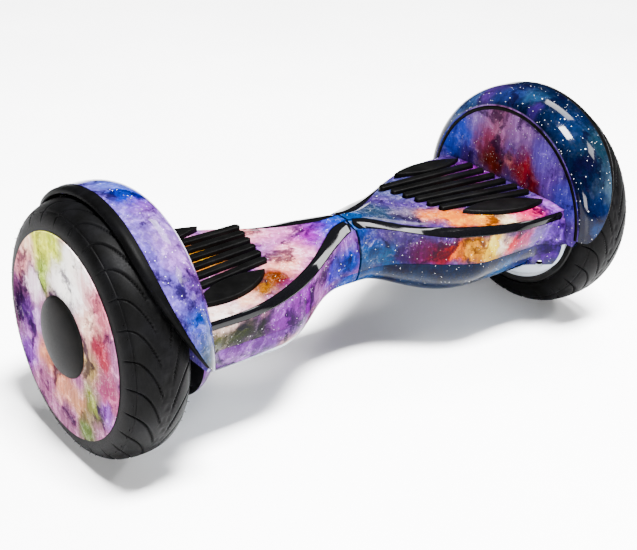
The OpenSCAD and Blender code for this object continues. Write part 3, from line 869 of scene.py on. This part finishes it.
def nebula(name, ground, clouds, painted_light=None, depth=0.3, light=0.28, sheen=0.03, deepen=1.45):
    """Glossy watercolour nebula print.

    clouds are (x, y, z, reach, colour), in millimetres. The function given after them paints highlight and
    shade over the print.
    depth is its brightness, light the strength of the pale wisps, sheen the specular level and deepen
    the contrast of its colours.
    """
    n = Nodes(name)
    place = n.place()
    wander = n.noise(place, 30, detail=7, roughness=0.66)
    shift = n.vector("SUBTRACT", wander.outputs["Color"], (0.5, 0.5, 0.5))
    warped = n.vector("ADD", place, n.vector("MULTIPLY", shift, (WANDER, WANDER, WANDER)))
    paint = colour(ground)
    for x, y, z, reach, code in clouds:
        away = n.vector("DISTANCE", warped, (x, y, z))
        paint = n.blend(n.fade(away, reach, reach * 0.2), paint, colour(code))
    smoke = n.noise(warped, 30, detail=6, roughness=0.6, distortion=0.4).outputs["Fac"]
    paint = n.blend(n.fade(smoke, 0.5, 0.36, 0, 0.75), paint, colour(SMOKE))
    wisps = n.noise(warped, 13, detail=12, roughness=0.7, distortion=0.6).outputs["Fac"]
    paint = n.blend(n.fade(wisps, 0.48, 0.66, 0, min(1, 2.4 * light)), paint, colour(WHITE), "OVERLAY")
    paint = n.blend(n.fade(wisps, 0.54, 0.72, 0, 0.5 * light), paint, colour(BLUSH))
    thread = n.math("ABSOLUTE", n.math("SUBTRACT", smoke, 0.56))
    paint = n.blend(n.fade(thread, 0.016, 0.0, 0, 0.45 * light), paint, colour("#fff4f4"))
    drawn = n.vector("MULTIPLY", place, (1, 1, 0.1))
    streaks = n.noise(drawn, 5, detail=5, roughness=0.6).outputs["Fac"]
    paint = n.blend(n.fade(streaks, 0.4, 0.66, 0, 0.4), paint, colour(WHITE), "OVERLAY")
    grain = n.noise(place, 3.2, detail=6, roughness=0.7).outputs["Fac"]
    deep = n.add("ShaderNodeGamma")
    n.link(paint, deep.inputs["Color"])
    deep.inputs["Gamma"].default_value = deepen
    rich = n.add("ShaderNodeHueSaturation")
    rich.inputs["Saturation"].default_value = 0.77 * deepen
    rich.inputs["Value"].default_value = depth
    n.link(deep.outputs["Color"], rich.inputs["Color"])
    stars = n.math("MAXIMUM", star_field(n, place, 4, 0.7, 0.13), star_field(n, place, 14, 0.45, 0.075))
    paint = n.blend(stars, rich.outputs["Color"], colour(WHITE))
    # Painted highlight and shade laid over the print.
    if painted_light:
        paint = painted_light(n, place, paint)
    n.set(Base_Color=paint)
    n.set(Roughness=n.fade(grain, 0.3, 0.7, 0.06, 0.1))
    n.shader.inputs["Specular IOR Level"].default_value = sheen
    n.bump(n.noise(place, 1.6, detail=2).outputs["Fac"], 0.05, 0.2)
    return n.material


def belly_highlight_and_shade(level, slope):
    """Painted highlight in light grey below a sloping line and round the right-hand wheel end, with
    painted shade in near-black on the end wall.
    """
    def paint_over(n, place, paint):
        x, _, z = n.split(place)
        reach = n.math("ABSOLUTE", x)
        # Light grey below this sloping line: a painted highlight along the belly's lower edge.
        line = n.math("ADD", n.math("MULTIPLY", n.math("SUBTRACT", reach, 150), slope), level)
        below = n.fade(n.math("SUBTRACT", z, line), 1.2, -1.2)
        under = n.math("MULTIPLY", below, n.fade(reach, 70, 110))
        # Light grey strip at the right-hand wheel end: a painted highlight.
        rim = n.fade(x, HALF_L - 5, HALF_L - 4.4)
        paint = n.blend(n.math("MAXIMUM", under, rim), paint, colour("#6f757d"))
        # Near-black end wall: painted shade.
        end_shade = n.fade(reach, HALF_L - 0.5, HALF_L - 0.2)
        return n.blend(end_shade, paint, colour("#050506"))
    return paint_over


def gloss_black(name):
    """Black lacquer with a faint smear."""
    n = Nodes(name)
    place = n.place()
    cloud = n.noise(place, 30, detail=5).outputs["Fac"]
    n.set(Base_Color=n.blend(cloud, colour("#020203"), colour("#050506")))
    smear = n.noise(place, 9, detail=7, roughness=0.7, distortion=0.6).outputs["Fac"]
    n.set(Roughness=n.fade(smear, 0.3, 0.75, 0.05, 0.1))
    n.shader.inputs["Specular IOR Level"].default_value = 0.12
    n.bump(n.noise(place, 1.4, detail=2).outputs["Fac"], 0.04, 0.2)
    return n.material


def rubber(name, dark, light, rough, grain_size, grain_depth, shine=0.02):
    """Dull moulded black, with dust in its colour and a fine grain."""
    n = Nodes(name)
    place = n.place()
    dust = n.noise(place, 24, detail=8, roughness=0.65).outputs["Fac"]
    n.set(Base_Color=n.blend(n.fade(dust, 0.35, 0.8), colour(dark), colour(light)))
    grain = n.noise(place, grain_size, detail=5, roughness=0.6).outputs["Fac"]
    n.set(Roughness=n.fade(grain, 0.3, 0.7, rough - 0.06, rough + 0.08))
    n.shader.inputs["Specular IOR Level"].default_value = shine
    n.bump(grain, 0.35, grain_depth)
    return n.material


def metal(name, dark, light, rough, brush):
    """Machined or cast metal, with grain drawn out by the brush scale."""
    n = Nodes(name)
    place = n.place()
    drawn = n.vector("MULTIPLY", place, brush)
    grain = n.noise(drawn, 1.2, detail=8, roughness=0.7).outputs["Fac"]
    stain = n.noise(place, 35, detail=5).outputs["Fac"]
    base = n.blend(grain, colour(dark), colour(light))
    n.set(Base_Color=n.blend(n.fade(stain, 0.4, 0.8, 0, 0.35), base, colour(dark)))
    n.shader.inputs["Metallic"].default_value = 1.0
    n.set(Roughness=n.fade(grain, 0.25, 0.75, rough - 0.08, rough + 0.12))
    n.bump(grain, 0.15, 0.15)
    return n.material


def plastic(name, dark, light, rough):
    """Clouded plastic of the inner parts."""
    n = Nodes(name)
    place = n.place()
    cloud = n.noise(place, 12, detail=7, roughness=0.65).outputs["Fac"]
    n.set(Base_Color=n.blend(n.fade(cloud, 0.35, 0.7), colour(dark), colour(light)))
    grain = n.noise(place, 1.5, detail=4).outputs["Fac"]
    n.set(Roughness=n.fade(grain, 0.3, 0.7, rough - 0.05, rough + 0.1))
    n.bump(grain, 0.12, 0.15)
    return n.material


BARE_COVER_R = 91     # radius of a motor cover's unpainted middle


def coated_cover():
    """Bare cast metal in the middle of a motor cover, black paint round its flange."""
    n = Nodes("coated_cover")
    place = n.place()
    _, y, z = n.split(place)
    height = n.math("SUBTRACT", z, AXLE_Z)
    r = n.math("SQRT", n.math("ADD", n.math("MULTIPLY", y, y), n.math("MULTIPLY", height, height)))
    bare = n.fade(r, BARE_COVER_R + 0.4, BARE_COVER_R)
    grain = n.noise(place, 1.2, detail=8, roughness=0.7).outputs["Fac"]
    cast = n.blend(grain, colour("#8f959c"), colour("#b9bdc2"))
    n.set(Base_Color=n.blend(bare, colour("#040404"), cast))
    n.set(Metallic=n.math("MULTIPLY", bare, 0.8))
    n.set(Roughness=n.fade(grain, 0.25, 0.75, 0.4, 0.55))
    n.shader.inputs["Specular IOR Level"].default_value = 0.1
    n.bump(grain, 0.15, 0.15)
    return n.material


TYRE_BLACK = rubber("tyre_black", "#020202", "#060607", 0.5, 1.1, 0.25)
PAD_BLACK = rubber("pad_black", "#020202", "#060606", 0.35, 0.9, 0.1)
STRIP_BLACK = gloss_black("strip_black")
LIP_BLACK = rubber("lip_black", "#020202", "#050506", 0.42, 0.8, 0.08, 0.01)
HUB_BLACK = rubber("hub_black", "#060606", "#0c0b0a", 0.45, 0.9, 0.04, 0.012)
MOTOR_COVER = coated_cover()
CAST = metal("cast_metal", "#7f848a", "#b9bdc2", 0.45, (1, 1, 1))
STEEL = metal("zinc_steel", "#6d7278", "#a9aeb3", 0.32, (0.2, 1, 1))
COPPER = metal("wound_copper", "#7a3f1c", "#c47a45", 0.4, (1, 4, 4))
BRASS = metal("plain_brass", "#8c6d28", "#c9a954", 0.35, (1, 1, 1))
BOARD = plastic("solder_mask", "#123a22", "#236b40", 0.45)
WRAP = plastic("cell_wrap", "#1d4788", "#2f66b8", 0.3)
CABLE = plastic("cable_black", "#0c0c0d", "#1a1a1c", 0.5)

SLOT_MATERIALS = {
    "pad_rubber": PAD_BLACK, "tyre_rubber": TYRE_BLACK, "black_gloss": STRIP_BLACK, "cast_aluminium": CAST,
    "screw_steel": STEEL, "motor_iron": STEEL, "magnet_steel": STEEL, "copper": COPPER,
    "brass_fitting": BRASS, "circuit_board": BOARD, "battery_wrap": WRAP, "cable_sheath": CABLE,
}

LEFT_DECK = nebula("left_deck_print", "#8a6498", [
    (-5, 0, 168, 34, "#2f4f8a"), (-30, -5, 166, 34, "#5a5ca8"), (-55, 0, 160, 38, "#8e4696"),
    (-75, 30, 158, 44, "#bc84ac"), (-85, -25, 158, 38, "#dca0b0"), (-110, -40, 157, 36, "#e4a8a0"),
    (-100, 50, 158, 44, "#e0a4a4"), (-128, -60, 157, 30, "#683808"), (-152, -68, 157, 28, "#805c34"),
    # The two pale clouds on the front edge at x -178 and -215 are a painted highlight along the deck's
    # rounded edge.
    (-178, -76, 157, 26, "#e0b0a0"), (-215, -84, 157, 40, "#ecd0c8"), (-170, 20, 158, 60, "#d89c50"),
    (-244, -90, 128, 30, "#0a2010"), (-222, -92, 130, 26, "#4c500c"), (-196, -92, 130, 30, "#2c3406"),
    (-168, -90, 130, 26, "#04060c"), (-140, -86, 130, 30, "#7c4c8c"), (-105, -74, 132, 38, "#7c3c8c"),
    (-70, -56, 132, 38, "#a474a8"), (-40, -36, 134, 28, "#5650a0"), (-15, -32, 134, 26, "#3a5094"),
], depth=0.34, sheen=0.01)
RIGHT_DECK = nebula("right_deck_print", "#5c4c7c", [
    (10, 0, 167, 44, "#2c5282"), (50, 0, 160, 48, "#3c4c60"), (82, -20, 160, 32, "#7c7084"),
    (100, -30, 160, 28, "#d08868"), (122, -48, 158, 28, "#dc8430"), (145, -66, 158, 26, "#e89a30"),
    (168, -80, 158, 26, "#fbe0b8"), (190, -84, 158, 24, "#e08890"), (206, -80, 158, 26, "#c04070"),
    (238, -80, 156, 36, "#a070b8"), (120, 50, 158, 50, "#545c7c"), (175, 20, 158, 50, "#b05460"),
    (225, 40, 158, 50, "#70387c"),
    (5, -30, 130, 38, "#20486e"), (36, -38, 130, 26, "#2c5c80"), (52, -45, 132, 22, "#442c5c"),
    (68, -56, 132, 22, "#5c2050"), (84, -66, 132, 20, "#981c28"), (100, -74, 132, 20, "#b85c20"),
    (120, -80, 132, 26, "#d09830"), (142, -86, 132, 24, "#e4bc60"), (158, -88, 134, 14, "#f8e8d0"),
    (172, -90, 134, 20, "#c03c4c"), (190, -90, 132, 22, "#a84c74"), (222, -92, 132, 34, "#7458a0"),
], depth=0.3)
LEFT_BELLY = nebula("left_belly_print", "#7c5a90", [
    (-10, -25, 105, 40, "#3c5894"), (-60, -45, 95, 40, "#a4749c"), (-95, -60, 95, 34, "#b88488"),
    (-130, -70, 92, 28, "#c09c80"), (-160, -70, 90, 34, "#6c4486"), (-200, -75, 90, 36, "#8c689c"),
    (-235, -85, 95, 30, "#5a2c6c"),
], belly_highlight_and_shade(level=94, slope=-0.14), depth=0.34, sheen=0.01)
RIGHT_BELLY = nebula("right_belly_print", "#122844", [
    (10, -28, 105, 34, "#244c78"), (60, -45, 95, 40, "#16304c"), (120, -70, 95, 40, "#182840"),
    (165, -75, 95, 30, "#2a5478"), (195, -80, 100, 26, "#303c6c"), (225, -85, 105, 30, "#5a3c80"),
], belly_highlight_and_shade(level=72, slope=0.2), depth=0.4, light=0.06)
LEFT_FENDER = nebula("left_fender_print", "#7c70ac", [
    (-255, 60, 245, 60, "#6078b4"), (-262, 10, 262, 42, "#7078b4"), (-270, -15, 258, 26, "#26408c"),
    (-262, -38, 252, 28, "#8460a4"), (-258, -60, 240, 38, "#8c74a8"), (-258, -80, 222, 34, "#a484bc"),
    (-255, -95, 205, 30, "#806098"), (-250, -105, 190, 28, "#8468a8"), (-262, -118, 172, 32, "#44548c"),
    (-255, -128, 150, 30, "#284868"), (-250, -134, 132, 24, "#103c40"), (-242, 60, 200, 50, "#6c5898"),
], depth=0.3, sheen=0.08)
RIGHT_FENDER = nebula("right_fender_print", "#0c1f3c", [
    (250, 90, 215, 36, "#4c648c"), (250, 65, 238, 30, "#3c5680"), (250, 45, 250, 28, "#54387c"),
    (255, 15, 258, 34, "#2c3a6c"), (262, -10, 262, 22, "#2c4c6c"), (250, -30, 250, 16, "#3c2468"),
    (265, -70, 240, 34, "#143058"), (285, -95, 225, 40, "#243c4c"), (290, -120, 180, 44, "#4c6070"),
    (285, -128, 150, 30, "#24486c"), (262, -125, 165, 30, "#0c2450"), (260, -132, 140, 20, "#143a66"),
], depth=0.24, light=0.05, sheen=0.08, deepen=1.3)
# The panel prints are painted brighter than the fender bands, with depth 0.7 and 0.45, to make up for the
# shade the fender throws on the panels from the overhead light.
LEFT_PANEL = nebula("left_panel_print", "#5a5098", [
    (-241, 60, 200, 60, "#7c5090"), (-241, 0, 220, 50, "#a080b4"), (-241, -50, 190, 50, "#4c5ca4"),
    (-241, 20, 175, 30, "#8a3c6c"),
], depth=0.7, sheen=0)
RIGHT_PANEL = nebula("right_panel_print", "#503c78", [
    (241, 95, 175, 40, "#263a8c"), (241, 70, 200, 36, "#34449c"), (241, 45, 222, 36, "#80669c"),
    (241, 15, 225, 38, "#8c5c78"), (241, -15, 225, 34, "#846090"), (241, 30, 195, 34, "#7c3c58"),
    (241, 20, 172, 34, "#5c2018"), (241, -4, 185, 14, "#a86870"), (241, -28, 182, 32, "#7c1c2c"),
    (241, -45, 165, 24, "#641424"), (241, -55, 205, 30, "#604c98"), (241, -72, 175, 28, "#684494"),
    (241, -95, 165, 34, "#403c8c"), (241, 60, 165, 24, "#3c2464"),
], depth=0.45, light=0.14, sheen=0, deepen=1.3)


def disc_print(name, side):
    """Print on the face of a wheel disc."""
    x = side * COVER_HIGH.x
    return nebula(name, "#8c607c", [
        (x, 12, 212, 36, "#a8b040"), (x, 40, 204, 36, "#c8cc50"), (x, 34, 178, 30, "#8c9c48"),
        (x, -26, 208, 34, "#f8f2ea"), (x, -48, 190, 34, "#dcb8b8"), (x, -68, 182, 34, "#a46470"),
        (x, -8, 180, 36, "#fdf8f4"), (x, 70, 196, 30, "#ecc4ac"), (x, 82, 172, 34, "#c88c90"),
        (x, 54, 156, 28, "#dcc4d4"), (x, 92, 140, 30, "#6c4464"), (x, 84, 118, 34, "#2c1838"),
        (x, 62, 118, 30, "#603c78"), (x, 42, 122, 22, "#a884b0"), (x, 60, 90, 32, "#a470a8"),
        (x, 74, 78, 30, "#74488c"), (x, -48, 158, 30, "#e0b8a8"), (x, -72, 146, 30, "#8c404c"),
        (x, -50, 118, 30, "#98845c"), (x, -84, 112, 30, "#8c4c68"), (x, 28, 92, 32, "#b88064"),
        (x, 5, 72, 34, "#b07c68"), (x, 34, 60, 30, "#90607c"), (x, -28, 62, 32, "#a07860"),
        (x, -56, 80, 30, "#707444"), (x, -82, 84, 22, "#8858a0"), (x, -10, 42, 26, "#886078"),
        (x, -40, 46, 26, "#5c6844"),
    ], depth=0.6, light=0.3, sheen=0, deepen=1.32)


PRINTS = {
    LEFT: (LEFT_DECK, LEFT_BELLY, LEFT_FENDER, LEFT_PANEL),
    RIGHT: (RIGHT_DECK, RIGHT_BELLY, RIGHT_FENDER, RIGHT_PANEL),
}


# ---------------------------------------------------------------- building

def dress_cad_nodes():
    """Gives the CAD nodes the materials of their slots."""
    for entry in frame["record"]["subparts"]:
        material = SLOT_MATERIALS.get(entry["material_slot"])
        if entry["node"].endswith("motor_cover"):
            material = MOTOR_COVER
        if material is None:
            continue
        mesh = frame["nodes"][entry["node"]].data
        mesh.materials.clear()
        mesh.materials.append(material)


def build_side(side):
    deck, belly, arch_print, panel = PRINTS[side]
    upper_shell(side, deck)
    lower_shell(side, belly)
    deck_trim(side, FRONT, STRIP_BLACK)
    deck_trim(side, REAR, STRIP_BLACK)
    fender(side, arch_print, panel)
    fender_lip(side, LIP_BLACK)
    trim_ring(side, LIP_BLACK)
    foot_pad(side, PAD_BLACK)
    tyre(side, TYRE_BLACK)
    vent_hairs(side, TYRE_BLACK)
    wheel_disc(side, disc_print(f"{SIDES[side]}_disc_print", side))
    hub_dome(side, HUB_BLACK)


# ---------------------------------------------------------------- stage

AZIMUTH = math.radians(-39.28)
ELEVATION = math.radians(26.91)
ROLL = math.radians(3.10)
DISTANCE = 1.40238
TARGET = Vector((-0.02883, 0, 0.10901))
LENS = 74.6


def place_camera():
    """Looks at TARGET from DISTANCE metres away, turned by ROLL."""
    back = Vector((math.sin(AZIMUTH) * math.cos(ELEVATION), -math.cos(AZIMUTH) * math.cos(ELEVATION),
                   math.sin(ELEVATION)))
    right = Vector((math.cos(AZIMUTH), math.sin(AZIMUTH), 0))
    up = back.cross(right)
    tilted_right = right * math.cos(ROLL) + up * math.sin(ROLL)
    tilted_up = up * math.cos(ROLL) - right * math.sin(ROLL)
    lens = bpy.data.cameras.new("camera")
    lens.lens = LENS
    lens.sensor_width = 36
    lens.sensor_fit = "HORIZONTAL"
    camera = add_object("camera", lens)
    turn = Matrix((tilted_right, tilted_up, back)).transposed().to_4x4()
    camera.matrix_world = Matrix.Translation(TARGET + back * DISTANCE) @ turn
    bpy.context.scene.camera = camera


def soft_light(name, place, aim, size, power):
    """A soft box at a place, turned to its aim. Lengths are metres."""
    lamp = bpy.data.lights.new(name, "AREA")
    lamp.shape = "RECTANGLE"
    lamp.size, lamp.size_y = size
    lamp.energy = power
    light = add_object(name, lamp)
    light.location = place
    light.rotation_euler = (Vector(aim) - Vector(place)).to_track_quat("-Z", "Y").to_euler()


LOW_SKY = 0.45        # brightness of the studio near the horizon, and overhead
HIGH_SKY = 0.7


def light_studio():
    """A tent that is brightest overhead, with four soft boxes."""
    world = bpy.data.worlds.new("studio")
    world.use_nodes = True
    bpy.context.scene.world = world
    nodes = world.node_tree.nodes
    links = world.node_tree.links
    direction = nodes.new("ShaderNodeTexCoord")
    parts = nodes.new("ShaderNodeSeparateXYZ")
    rise = nodes.new("ShaderNodeMapRange")
    rise.interpolation_type = "SMOOTHSTEP"
    rise.inputs["From Min"].default_value = 0.45
    rise.inputs["From Max"].default_value = 0.95
    rise.inputs["To Min"].default_value = LOW_SKY
    rise.inputs["To Max"].default_value = HIGH_SKY
    links.new(direction.outputs["Generated"], parts.inputs[0])
    links.new(parts.outputs["Z"], rise.inputs["Value"])
    links.new(rise.outputs["Result"], nodes["Background"].inputs["Strength"])
    soft_light("overhead", (-0.1, -1.0, 4.2), (0, 0, 0.1), (1.5, 0.95), 2200)
    soft_light("front", (-1.5, -1.9, 0.5), (0, 0, 0.15), (0.8, 0.5), 95)
    soft_light("window", (0.9, 0.2, 1.3), (-0.26, -0.05, 0.25), (0.55, 0.35), 30)
    soft_light("side", (1.3, -1.0, 1.55), (0, 0, 0.15), (0.5, 0.3), 26)


FLOOR_REACH = 9


def lay_floor():
    """A square of pale floor round the board."""
    n = Nodes("pale_floor")
    place = n.place()
    tone = n.noise(place, 300, detail=3).outputs["Fac"]
    n.set(Base_Color=n.blend(tone, colour("#f4f4f5"), colour(WHITE)))
    n.set(Roughness=n.fade(tone, 0.3, 0.7, 0.35, 0.42))
    mesh = bpy.data.meshes.new("floor")
    square = [(x * FLOOR_REACH, y * FLOOR_REACH, 0) for x, y in ((-1, -1), (1, -1), (1, 1), (-1, 1))]
    mesh.from_pydata(square, [], [(0, 1, 2, 3)])
    mesh.materials.append(n.material)
    add_object("floor", mesh)


place_camera()
light_studio()
lay_floor()
dress_cad_nodes()
build_side(LEFT)
build_side(RIGHT)
